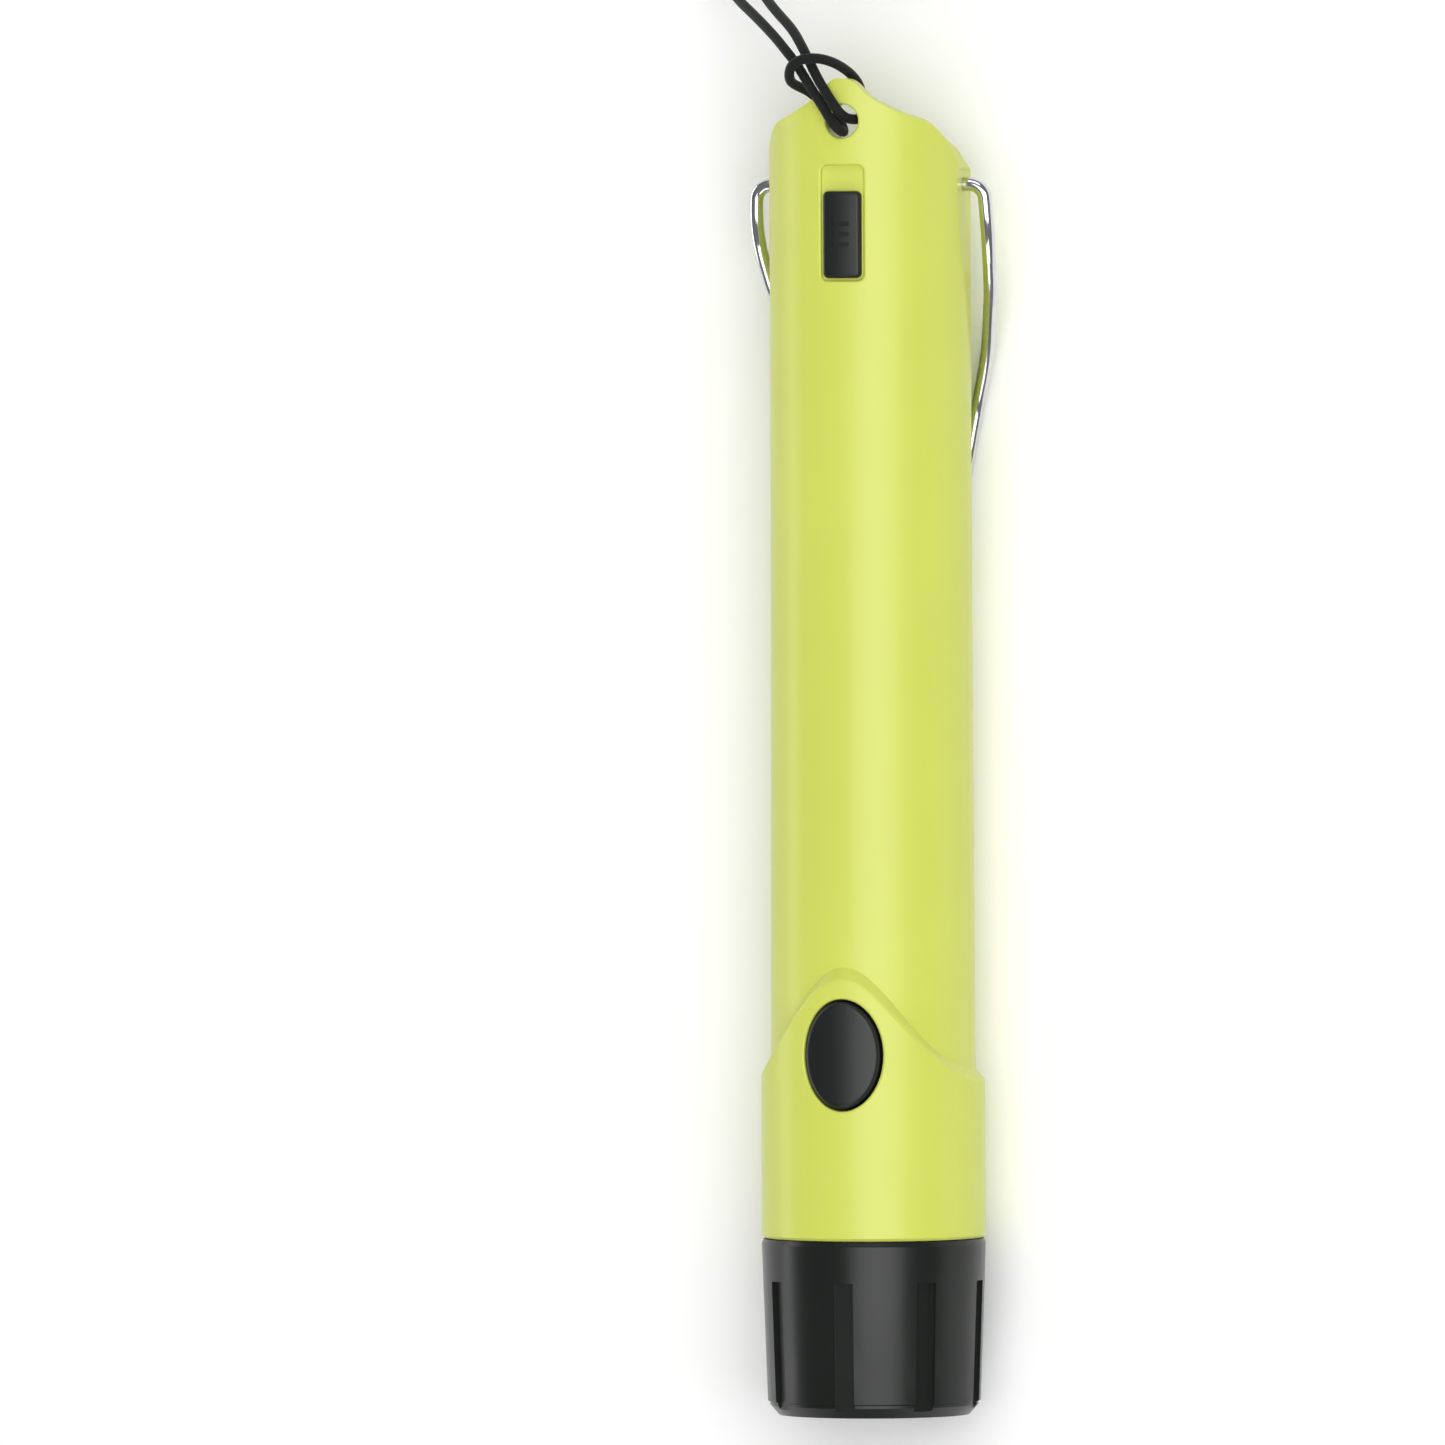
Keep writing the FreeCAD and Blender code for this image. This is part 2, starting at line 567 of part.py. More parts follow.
def rear_contact():
    top = BULKHEAD_Z[4][0]
    return cylinder(5.5, BATTERY_Z[1] + BATTERY_LENGTH, top, 0, BATTERY_Y)


def main_circuit_board():
    board = block(-BOARD_HALF_X, BOARD_HALF_X, BOARD_Y, BOARD_Y + BOARD_THICKNESS, *BOARD_Z)
    holes = [cylinder_y(M2_R + 0.1, BOARD_Y - 1, BOARD_Y + 3, x, z) for x, z in BOARD_SCREWS]
    return board.cut(group(holes))


def board_screws():
    screws = []
    for x, z in BOARD_SCREWS:
        head = cylinder_y(M2_HEAD_R, BOARD_Y - 0.9, BOARD_Y, x, z)
        slot = block(x - M2_HEAD_R, x + M2_HEAD_R, BOARD_Y - 1, BOARD_Y - 0.5, z - 0.25, z + 0.25)
        shank = cylinder_y(M2_R * 0.84, BOARD_Y, BOARD_Y + 2.8, x, z)
        screws.append(fused([head, shank]).cut(slot))
    return group(screws)


def control_chip():
    """Square chip with a row of short legs on two sides."""
    half, rise = 3.5, 1.4
    shapes = [block(-half, half, BOARD_Y - rise - 0.1, BOARD_Y - 0.1, CHIP_Z - half, CHIP_Z + half)]
    for side in (-1, 1):
        x0, x1 = sorted((side * (half - 0.2), side * (half + 1.0)))
        for index in range(6):
            z = CHIP_Z - 2.75 + 1.1 * index
            shapes.append(block(x0, x1, BOARD_Y - 0.6, BOARD_Y, z - 0.2, z + 0.2))
    return fused(shapes)


def board_components():
    """Capacitors, resistors and a crystal, all separate solids."""
    shapes = []
    for x, z in CAPACITOR_PLACES:
        shapes.append(cylinder_y(2.5, BOARD_Y - 5.4, BOARD_Y, x, z))
    for index in range(8):
        z = CHIP_Z + 9.0 + 3.0 * index
        for x in (-5.0, 0.0, 5.0):
            shapes.append(block(x - 1.0, x + 1.0, BOARD_Y - 0.6, BOARD_Y, z - 0.6, z + 0.6))
    shapes.append(block(-2.0, 2.0, BOARD_Y - 3.2, BOARD_Y, CHIP_Z - 17.0, CHIP_Z - 6.0))
    return group(shapes)


def tactile_switch():
    front = BOARD_Y - TACT_HEIGHT
    body = block(-3.1, 3.1, front, BOARD_Y, BUTTON_Z - 3.1, BUTTON_Z + 3.1)
    return body.cut(cylinder_y(PLUNGER_R + 0.08, front - 1, front + 2.6, 0, BUTTON_Z))


def slide_switch():
    front = BOARD_Y - SLIDE_HEIGHT
    body = block(-3.0, 3.0, front, BOARD_Y, *SLIDE_Z)
    slot = block(-1.15, 1.15, front - 1, front + 1.8, KNOB_STEM_Z - 1.4,
                 KNOB_STEM_Z + KNOB_TRAVEL + 1.2)
    return body.cut(slot)


def buzzer():
    back = BOARD_Y + BOARD_THICKNESS + CHASSIS_WALL
    can = cylinder_y(BUZZER_R, back, back + 6.0, 0, BUZZER_Z)
    return can.cut(cylinder_y(0.9, back + 5.0, back + 7.0, 0, BUZZER_Z))


def motor_can():
    can = cylinder(MOTOR_R, *MOTOR_Z, 0, MOTOR_Y)
    return can.cut(cylinder(SHAFT_R + 0.06, MOTOR_Z[0] + 6, MOTOR_Z[1] + 1, 0, MOTOR_Y))


def motor_shaft():
    return cylinder(SHAFT_R, MOTOR_Z[0] + 6.5, MOTOR_Z[1] + 6.0, 0, MOTOR_Y)


def eccentric_weight():
    low, high = MOTOR_Z[1] + 1.2, MOTOR_Z[1] + 5.4
    hub = cylinder(1.4, low, high, 0, MOTOR_Y)
    lobe = cylinder(3.3, low, high, 0, MOTOR_Y).cut(block(-5, 5, -5, MOTOR_Y, low - 1, high + 1))
    return fused([hub, lobe]).cut(cylinder(SHAFT_R, low - 1, high + 1, 0, MOTOR_Y))


# ---------------------------------------------------------------- push button and slide knob
def oval_button():
    stem = oval_prism(BUTTON_HALF_X, BUTTON_HALF_Z, BUTTON_Z, -25, FLANGE_Y[0])
    crown = stem.common(cylinder(BUTTON_CROWN_R, BUTTON_Z - 20, BUTTON_Z + 20))
    face_rim = front_edges(crown, BUTTON_HALF_X + 1, BUTTON_HALF_Z + 1, BUTTON_Z, FLANGE_Y[0] - 1)
    crown = crown.makeFillet(BUTTON_ROUND, face_rim)
    flange = oval_prism(BUTTON_HALF_X + 1.1, BUTTON_HALF_Z + 1.3, BUTTON_Z, *FLANGE_Y)
    return fused([crown, flange])


def switch_plunger():
    return cylinder_y(PLUNGER_R, FLANGE_Y[1], BOARD_Y - TACT_HEIGHT + 1.2, 0, BUTTON_Z)


def slide_knob():
    base = rounded_block(KNOB_X / 2, -25, -RECESS_DEPTH_Y - 0.1, *KNOB_Z, RECESS_CORNER - 0.3)
    knob = base.common(cylinder(KNOB_FACE_R, KNOB_Z[0] - 1, KNOB_Z[1] + 1))
    face_rim = front_edges(knob, KNOB_X, KNOB_Z[1] - KNOB_Z[0], KNOB_STEM_Z, -RECESS_DEPTH_Y - 0.4)
    knob = knob.makeFillet(KNOB_ROUND, face_rim)
    stem = block(-1.5, 1.5, -RECESS_DEPTH_Y - 0.2, ACTUATOR_TIP_Y,
                 KNOB_STEM_Z - 1.5, KNOB_STEM_Z + 1.5)
    grooves = [block(-1.4, 1.4, -25, -KNOB_FACE_R + GRIP_GROOVE_DEPTH, z - 0.35, z + 0.35)
               for z in GRIP_GROOVE_Z]
    return fused([knob, stem]).cut(group(grooves))


def switch_actuator():
    back = BOARD_Y - SLIDE_HEIGHT + 1.5
    return block(-0.95, 0.95, ACTUATOR_TIP_Y, back, KNOB_STEM_Z - 1.0, KNOB_STEM_Z + 1.0)


# ---------------------------------------------------------------- belt clip
def wire_clip():
    """One bent wire: a pin in each side of the tube and a long leg down to the back."""
    leg = [(CLIP_PIN_INNER_X, 0, CLIP_PIN_Z), (20.1, 0.1, CLIP_PIN_Z), (20.6, 1.0, 200.5),
           (19.3, 6.9, 190.6), (16.6, 14.3, 180.2), (13.7, CLIP_BACK_Y, 171.4),
           (11.2, CLIP_BACK_Y, 158.0), (10.4, CLIP_BACK_Y, CLIP_BEND_Z)]
    radii = [2.6, 22.0, 40.0, 40.0, 14.0, 30.0, 4.0]
    right = [Vector(*point) for point in leg]
    left = [Vector(-point.x, point.y, point.z) for point in reversed(right)]
    path = rounded_path(right + left, radii + radii[::-1])
    return round_bar(path, CLIP_WIRE_R)


# ---------------------------------------------------------------- lanyard
def lanyard_cord():
    points = [Vector(*point) for point in LANYARD_ROUTE]
    radii = largest_radii(points)
    path = rounded_path(points, radii)
    cord = round_bar(path, CORD_R)
    expected = path.Length * math.pi * CORD_R ** 2
    print("cord radii", [round(radius, 1) for radius in radii])
    print("cord length %.1f, volume %.1f, expected %.1f" % (path.Length, cord.Volume, expected))
    return cord


def lanyard_hank():
    """Outer shape of the put-away turns: a flat, round-ended bundle."""
    x0, x1 = HANK_X
    y0, y1 = HANK_Y
    body = Part.makeBox(x1 - x0, y1 - y0, HANK_HEIGHT, Vector(x0, y0, 0))
    upright = [e for e in body.Edges if abs(e.tangentAt(e.FirstParameter).z) > 0.99]
    body = body.makeFillet(4.0, upright)
    return body.cut(hank_waist(TIE_THICKNESS))


def hank_waist(depth):
    """The strip of the bundle's surface that the tie covers, to a given depth."""
    middle = (HANK_Y[0] + HANK_Y[1]) / 2
    x0, x1 = HANK_X
    outer = Part.makeBox(x1 - x0, 2 * TIE_HALF_Y, HANK_HEIGHT, Vector(x0, middle - TIE_HALF_Y, 0))
    inner = Part.makeBox(x1 - x0 - 2 * depth, 2 * TIE_HALF_Y + 2, HANK_HEIGHT - 2 * depth,
                         Vector(x0 + depth, middle - TIE_HALF_Y - 1, depth))
    return outer.cut(inner)


def lanyard_tie():
    return hank_waist(TIE_THICKNESS)


def lanyard_knot():
    """The two ends knotted together just past the bundle."""
    x = sum(HANK_X) / 2
    y = HANK_Y[1]
    knot = Part.makeSphere(KNOT_R, Vector(x, y + KNOT_R - 0.4, KNOT_R))
    beside = Part.makeBox(40, 20, 20, Vector(x - 20, y - 20, -5))
    return knot.cut(beside)


# ---------------------------------------------------------------- writing the parts
PARTS = {
    "main_housing": main_housing, "neck_oring": neck_oring, "button_seal": button_seal,
    "ribbed_cap": ribbed_cap, "coil_bobbin": coil_bobbin, "coil_winding": coil_winding,
    "ferrite_core": ferrite_core, "ring_board": ring_board, "contact_rings": contact_rings,
    "coil_screws": coil_screws, "cap_washer": cap_washer, "chassis": chassis,
    "contact_plate": contact_plate, "spring_pins": spring_pins, "plate_screws": plate_screws,
    "battery_front": lambda: battery(BATTERY_Z[0]), "battery_rear": lambda: battery(BATTERY_Z[1]),
    "battery_spring": battery_spring, "rear_contact": rear_contact,
    "main_circuit_board": main_circuit_board, "board_screws": board_screws,
    "control_chip": control_chip, "board_components": board_components,
    "tactile_switch": tactile_switch, "slide_switch": slide_switch, "buzzer": buzzer,
    "motor_can": motor_can, "motor_shaft": motor_shaft, "eccentric_weight": eccentric_weight,
    "oval_button": oval_button, "switch_plunger": switch_plunger, "slide_knob": slide_knob,
    "switch_actuator": switch_actuator, "wire_clip": wire_clip,
}
LAID_PARTS = {
    "lanyard_cord": lanyard_cord, "lanyard_hank": lanyard_hank, "lanyard_tie": lanyard_tie,
    "lanyard_knot": lanyard_knot,
}


def laid_on_back(shape):
    """Turn a part from standing on its tip to lying on its back on the surface."""
    shape.rotate(Vector(0, 0, 0), Vector(1, 0, 0), -90)
    shape.translate(Vector(0, -LENGTH / 2, SLEEVE_R))
    return shape


def main():
    os.makedirs("parts", exist_ok=True)
    for name, make in PARTS.items():
        laid_on_back(make()).exportStep("parts/" + name + ".step")
    for name, make in LAID_PARTS.items():
        make().exportStep("parts/" + name + ".step")


if __name__ == "__main__":
    main()
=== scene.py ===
import json
import math

import bpy
from mathutils import Matrix, Vector


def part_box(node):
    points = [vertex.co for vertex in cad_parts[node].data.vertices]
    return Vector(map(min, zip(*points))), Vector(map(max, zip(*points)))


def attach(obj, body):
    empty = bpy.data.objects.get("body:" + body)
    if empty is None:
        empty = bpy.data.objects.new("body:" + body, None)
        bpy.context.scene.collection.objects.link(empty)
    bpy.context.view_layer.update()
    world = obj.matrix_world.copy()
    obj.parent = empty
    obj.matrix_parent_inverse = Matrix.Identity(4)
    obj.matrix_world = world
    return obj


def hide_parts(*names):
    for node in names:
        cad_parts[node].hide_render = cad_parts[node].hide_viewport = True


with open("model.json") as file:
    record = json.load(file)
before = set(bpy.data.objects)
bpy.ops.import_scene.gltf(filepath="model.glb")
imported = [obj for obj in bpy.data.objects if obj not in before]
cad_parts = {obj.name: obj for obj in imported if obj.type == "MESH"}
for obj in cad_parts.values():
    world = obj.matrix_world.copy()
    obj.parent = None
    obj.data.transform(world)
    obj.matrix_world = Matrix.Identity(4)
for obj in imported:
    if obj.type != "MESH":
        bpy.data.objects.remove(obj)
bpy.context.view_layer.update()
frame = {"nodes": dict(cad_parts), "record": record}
NODES = frame["nodes"]

CAP_LOW, CAP_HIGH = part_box("ribbed_cap")
AXIS_Z = (CAP_LOW.z + CAP_HIGH.z) / 2      # height of the probe's own axis

# ---------------------------------------------------------------- camera
VIEW_WIDTH = 0.24565       # what the picture spans at the probe's axis
VIEW_DISTANCE = 3.5        # from the camera to the axis
VIEW_END = 50              # nothing beyond this is drawn
VIEW_TURN = math.radians(17.0)    # the probe is seen from this far round to its right
VIEW_LEAN = math.radians(1.0)     # and from this far towards the lanyard end
VIEW_ROLL = math.radians(0.22)
VIEW_ASIDE = 0.0254        # the probe's axis lies this far to the right of the middle
VIEW_ALONG = 0.00425       # and the middle lies this far along the probe
SENSOR = 36.0              # millimetres


def make_camera():
    turn, lean = VIEW_TURN, VIEW_LEAN
    right = Vector((math.cos(turn), 0, -math.sin(turn)))
    back = Vector((math.sin(turn) * math.cos(lean), math.sin(lean),
                   math.cos(turn) * math.cos(lean)))
    up = back.cross(right)
    target = Vector((0, VIEW_ALONG, AXIS_Z)) - right * VIEW_ASIDE
    rolled_up = up * math.cos(VIEW_ROLL) + right * math.sin(VIEW_ROLL)
    rolled_right = right * math.cos(VIEW_ROLL) - up * math.sin(VIEW_ROLL)
    data = bpy.data.cameras.new("camera")
    data.lens = SENSOR * VIEW_DISTANCE / VIEW_WIDTH
    data.sensor_width = SENSOR
    data.clip_end = VIEW_END
    camera = bpy.data.objects.new("camera", data)
    bpy.context.scene.collection.objects.link(camera)
    turned = Matrix((rolled_right, rolled_up, back)).transposed().to_4x4()
    camera.matrix_world = Matrix.Translation(target + back * VIEW_DISTANCE) @ turned
    bpy.context.scene.camera = camera


# ---------------------------------------------------------------- node helpers
def new_material(name):
    material = bpy.data.materials.new(name)
    material.use_nodes = True
    nodes = material.node_tree.nodes
    nodes.clear()
    shader = nodes.new("ShaderNodeBsdfPrincipled")
    output = nodes.new("ShaderNodeOutputMaterial")
    material.node_tree.links.new(shader.outputs["BSDF"], output.inputs["Surface"])
    return material, shader


def add_node(material, kind, inputs=None, **settings):
    node = material.node_tree.nodes.new(kind)
    for name, value in settings.items():
        setattr(node, name, value)
    for name, value in (inputs or {}).items():
        node.inputs[name].default_value = value
    return node


def link(material, source, target):
    material.node_tree.links.new(source, target)


def place_coordinates(material):
    return add_node(material, "ShaderNodeTexCoord").outputs["Object"]


def noise(material, place, scale, detail=4.0, roughness=0.55):
    """Noise with its scale in waves to the metre."""
    node = add_node(material, "ShaderNodeTexNoise",
                    {"Scale": scale, "Detail": detail, "Roughness": roughness})
    link(material, place, node.inputs["Vector"])
    return node.outputs["Fac"]


def stretched(material, place, scale):
    """Coordinates squeezed along one axis, for drawn surfaces."""
    node = add_node(material, "ShaderNodeMapping", {"Scale": scale})
    link(material, place, node.inputs["Vector"])
    return node.outputs["Vector"]


def ramp(material, source, stops):
    """Ramp between two stops; each stop is a place and a colour or a grey."""
    node = add_node(material, "ShaderNodeValToRGB")
    for element, (place, colour) in zip(node.color_ramp.elements, stops):
        element.position = place
        element.color = (*colour, 1) if isinstance(colour, tuple) else (colour,) * 3 + (1,)
    link(material, source, node.inputs["Fac"])
    return node.outputs["Color"]


def bump(material, shader, height, strength, depth):
    """Fine relief of the surface, with its depth in metres."""
    node = add_node(material, "ShaderNodeBump", {"Strength": strength, "Distance": depth})
    link(material, height, node.inputs["Height"])
    link(material, node.outputs["Normal"], shader.inputs["Normal"])


def shade(colour, factor):
    return tuple(channel * factor for channel in colour)


# ---------------------------------------------------------------- materials
LIME = (0.585, 0.647, 0.104)
CAP_BLACK = (0.0085, 0.0105, 0.0090)
BUTTON_BLACK = (0.0075, 0.0082, 0.0082)
CORD_BLACK = (0.0055, 0.0062, 0.0060)
RUBBER_BLACK = (0.02, 0.02, 0.02)
CHIP_BLACK = (0.012, 0.012, 0.013)
FERRITE_BLACK = (0.03, 0.03, 0.033)
CHASSIS_GREY = (0.09, 0.10, 0.11)
NYLON_WHITE = (0.74, 0.73, 0.68)
CELL_BLUE = (0.05, 0.08, 0.13)
BOARD_GREEN = (0.010, 0.10, 0.035)
CHROME = (0.66, 0.67, 0.69)
STEEL = (0.58, 0.59, 0.61)
TUNGSTEN = (0.30, 0.30, 0.32)
GOLD = (0.80, 0.55, 0.20)
COPPER = (0.62, 0.24, 0.10)
WIRE_DRAWN = (1, 0.2, 1)   # the wire's drawing lines run along Y


def moulded(name, colour, roughness, grain=6000.0, depth=0.00002, spread=0.06,
            specular=0.5):
    """Moulded plastic: a faint drift of colour, fine grain and an uneven sheen."""
    material, shader = new_material(name)
    place = place_coordinates(material)
    drift = noise(material, place, scale=38.0, detail=3.0)
    stops = [(0.3, shade(colour, 1 - spread)), (0.7, shade(colour, 1 + spread))]
    link(material, ramp(material, drift, stops), shader.inputs["Base Color"])
    stops = [(0.25, roughness - 0.02), (0.75, roughness + 0.03)]
    sheen = ramp(material, noise(material, place, scale=45.0, detail=1.0), stops)
    link(material, sheen, shader.inputs["Roughness"])
    grains = noise(material, place, scale=grain, detail=2.0)
    bump(material, shader, grains, strength=0.35, depth=depth)
    shader.inputs["Specular IOR Level"].default_value = specular
    return material


def metal(name, colour, roughness, drawn=(1, 1, 1)):
    """Metal with fine lines along its drawing direction and a slightly uneven polish."""
    material, shader = new_material(name)
    place = stretched(material, place_coordinates(material), drawn)
    lines = noise(material, place, scale=2600.0, detail=3.0, roughness=0.6)
    stops = [(0.3, shade(colour, 0.94)), (0.7, shade(colour, 1.04))]
    link(material, ramp(material, lines, stops), shader.inputs["Base Color"])
    stops = [(0.3, roughness - 0.04), (0.7, roughness + 0.05)]
    polish = ramp(material, noise(material, place, scale=420.0), stops)
    link(material, polish, shader.inputs["Roughness"])
    bump(material, shader, lines, strength=0.2, depth=0.00001)
    shader.inputs["Metallic"].default_value = 1.0
    return material


def braided(name, colour):
    """Braided polyester: dull thread, slightly hairy, with a soft sheen."""
    material, shader = new_material(name)
    place = place_coordinates(material)
    threads = noise(material, place, scale=5200.0, detail=3.0, roughness=0.65)
    stops = [(0.3, shade(colour, 0.55)), (0.72, shade(colour, 1.9))]
    link(material, ramp(material, threads, stops), shader.inputs["Base Color"])
    stops = [(0.3, 0.62), (0.7, 0.82)]
    link(material, ramp(material, threads, stops), shader.inputs["Roughness"])
    bump(material, shader, threads, strength=0.5, depth=0.00008)
    shader.inputs["Sheen Weight"].default_value = 0.06
    shader.inputs["Sheen Roughness"].default_value = 0.5
    shader.inputs["Specular IOR Level"].default_value = 0.22
    return material


def circuit_board(name, colour):
    """Solder mask over copper tracks that show as slightly lighter lines."""
    material, shader = new_material(name)
    place = place_coordinates(material)
    tracks = add_node(material, "ShaderNodeTexBrick", {
        "Scale": 160.0, "Mortar Size": 0.035, "Color1": (*colour, 1),
        "Color2": (*shade(colour, 0.85), 1), "Mortar": (*shade(colour, 2.0), 1)})
    link(material, place, tracks.inputs["Vector"])
    link(material, tracks.outputs["Color"], shader.inputs["Base Color"])
    stops = [(0.3, 0.22), (0.7, 0.34)]
    gloss = ramp(material, noise(material, place, scale=300.0), stops)
    link(material, gloss, shader.inputs["Roughness"])
    bump(material, shader, tracks.outputs["Fac"], strength=0.3, depth=0.00003)
    return material


def wound_wire(name, colour):
    """Turns of enamelled wire, one fine ridge beside the next along the coil."""
    material, shader = new_material(name)
    place = place_coordinates(material)
    turns = add_node(material, "ShaderNodeTexWave", {"Scale": 900.0, "Distortion": 0.3},
                     bands_direction="Y")
    link(material, place, turns.inputs["Vector"])
    # painted shade: the colour darkens towards the grooves between the turns, where the bump
    # is lowest
    stops = [(0.1, shade(colour, 0.45)), (0.6, colour)]
    link(material, ramp(material, turns.outputs["Fac"], stops), shader.inputs["Base Color"])
    stops = [(0.3, 0.22), (0.7, 0.36)]
    gloss = ramp(material, noise(material, place, scale=900.0), stops)
    link(material, gloss, shader.inputs["Roughness"])
    bump(material, shader, turns.outputs["Fac"], strength=0.6, depth=0.0001)
    shader.inputs["Metallic"].default_value = 1.0
    return material


def make_materials():
    return {
        "lime_plastic": moulded("lime_plastic", LIME, roughness=0.34, grain=3800.0,
                                depth=0.000012, spread=0.02, specular=0.42),
        "black_cap_plastic": moulded("black_cap_plastic", CAP_BLACK, roughness=0.30,
                                     grain=4200.0, depth=0.000004, spread=0.12,
                                     specular=0.3),
        "black_button": moulded("black_button", BUTTON_BLACK, roughness=0.36, grain=5200.0,
                                spread=0.15, specular=0.36),
        "black_knob": moulded("black_knob", BUTTON_BLACK, roughness=0.38, grain=5200.0,
                              spread=0.15, specular=0.36),
        "chrome_wire": metal("chrome_wire", CHROME, roughness=0.12, drawn=WIRE_DRAWN),
        "black_cord": braided("black_cord", CORD_BLACK),
        "black_rubber": moulded("black_rubber", RUBBER_BLACK, roughness=0.6, spread=0.2),
        "white_nylon": moulded("white_nylon", NYLON_WHITE, roughness=0.45),
        "copper": wound_wire("copper", COPPER),
        "ferrite": moulded("ferrite", FERRITE_BLACK, roughness=0.7, grain=9000.0,
                           depth=0.00005, spread=0.25),
        "green_board": circuit_board("green_board", BOARD_GREEN),
        "gold_contact": metal("gold_contact", GOLD, roughness=0.2),
        "steel": metal("steel", STEEL, roughness=0.28),
        "grey_chassis": moulded("grey_chassis", CHASSIS_GREY, roughness=0.5),
        "cell_jacket": moulded("cell_jacket", CELL_BLUE, roughness=0.3, spread=0.1),
        "chip_black": moulded("chip_black", CHIP_BLACK, roughness=0.55, spread=0.2),
        "tungsten": metal("tungsten", TUNGSTEN, roughness=0.45),
    }


def dress_cad_nodes(materials):
    """Every CAD node keeps its shape and gets the full material of its slot."""
    for row in frame["record"]["subparts"]:
        piece = NODES[row["node"]]
        piece.data.materials.clear()
        piece.data.materials.append(materials[row["material_slot"]])
        for face in piece.data.polygons:
            face.use_smooth = True


# ---------------------------------------------------------------- lanyard cord
CORD_D = 0.0017
CORD_SIDES = 24            # flat sides of the round cord
CORD_STEP = 0.0003         # from one ring of its mesh to the next
ROUTE_STEPS = 12           # steps of the curve for each point of the route
ROUTE_ORDER = 3
BRAID_STRANDS = 8
BRAID_PITCH = 0.0036       # length of one full turn of a strand
BRAID_RELIEF = 0.035       # share of the radius
BRAID_MIDDLE = 0.6         # the braid's height that lies on the cord's own radius
KNOT_Z = 0.00175
KNOT_POINTS = 72
KNOT_SIZE_X, KNOT_SIZE_Y, KNOT_SIZE_Z = 0.00060, 0.00054, 0.00085
TIE_Z = 0.00216
TIE_HALF_X, TIE_HALF_Z = 0.0069, 0.0018
TIE_CORNER = 0.0016
TIE_CORNER_STEPS = 8
TIE_WIDTH = 0.0038
TIE_HALF_THICKNESS = 0.00027
TIE_EDGE = 0.92            # the strip's edges are rounded beyond this share of its half width
TIE_CROWN = 1.25           # and its middle stands out by this many half thicknesses

# The cord starts at the knot, lies in the hank, climbs to the tab, makes its hitch and comes
# back to the knot.  Each point is X, Y, Z in metres.
HANK_OUT = [
    (-0.03590, 0.18600, 0.00160), (-0.03780, 0.18500, 0.00190), (-0.04060, 0.18240, 0.00230),
    (-0.04250, 0.17800, 0.00250), (-0.04230, 0.17300, 0.00260), (-0.04060, 0.16800, 0.00295),
    (-0.03905, 0.16320, 0.00295), (-0.04050, 0.15860, 0.00260), (-0.04050, 0.15430, 0.00257),
    (-0.03730, 0.15100, 0.00257), (-0.03270, 0.15100, 0.00257), (-0.02940, 0.15430, 0.00257),
    (-0.02950, 0.15860, 0.00260), (-0.03095, 0.16340, 0.00295), (-0.03095, 0.16740, 0.00295),
    (-0.02950, 0.17200, 0.00257), (-0.02940, 0.17720, 0.00257), (-0.03270, 0.18050, 0.00257),
    (-0.03730, 0.18050, 0.00257), (-0.04050, 0.17720, 0.00257), (-0.04050, 0.17200, 0.00257),
    (-0.03905, 0.16740, 0.00160), (-0.03905, 0.16340, 0.00125), (-0.04030, 0.15800, 0.00090),
    (-0.04060, 0.15250, 0.00087)]
ROUTE = [
    (-0.04100, 0.14700, 0.00087), (-0.04100, 0.14240, 0.00087), (-0.03780, 0.13740, 0.00095),
    (-0.03260, 0.13360, 0.00360), (-0.02820, 0.13040, 0.00960), (-0.02400, 0.12730, 0.01720),
    (-0.01820, 0.12420, 0.02560), (-0.01287, 0.12059, 0.03190), (-0.01026, 0.11845, 0.03490),
    (-0.00779, 0.11611, 0.03660), (-0.00604, 0.11340, 0.03680), (-0.00441, 0.11069, 0.03660),
    (-0.00253, 0.10798, 0.03695), (-0.00145, 0.10640, 0.03745), (-0.00050, 0.10517, 0.03750),
    (0.00015, 0.10436, 0.03630), (0.00012, 0.10436, 0.03470), (-0.00045, 0.10510, 0.03340),
    (-0.00135, 0.10615, 0.03200), (-0.00250, 0.10720, 0.03060), (-0.00395, 0.10830, 0.02960),
    (-0.00561, 0.10954, 0.02920), (-0.00701, 0.11126, 0.03100), (-0.00799, 0.11207, 0.03420),
    (-0.00903, 0.11304, 0.03660), (-0.00824, 0.11546, 0.03860), (-0.00628, 0.11658, 0.03920),
    (-0.00439, 0.11685, 0.03900), (-0.00257, 0.11666, 0.03740), (-0.00099, 0.11586, 0.03500),
    (0.00023, 0.11454, 0.03200), (0.00101, 0.11307, 0.02990), (0.00150, 0.11144, 0.02920),
    (0.00221, 0.10890, 0.02920), (0.00234, 0.10696, 0.03020), (0.00157, 0.10640, 0.03290),
    (0.00071, 0.10671, 0.03590), (-0.00023, 0.10800, 0.03750), (-0.00213, 0.11071, 0.03710),
    (-0.00384, 0.11342, 0.03700), (-0.00515, 0.11613, 0.03710), (-0.00691, 0.11864, 0.03540),
    (-0.01000, 0.12185, 0.03100), (-0.01460, 0.12480, 0.02480), (-0.01940, 0.12780, 0.01660),
    (-0.02300, 0.13100, 0.00880), (-0.02620, 0.13460, 0.00320), (-0.02860, 0.13840, 0.00090),
    (-0.02980, 0.14260, 0.00087), (-0.02980, 0.14700, 0.00087)]
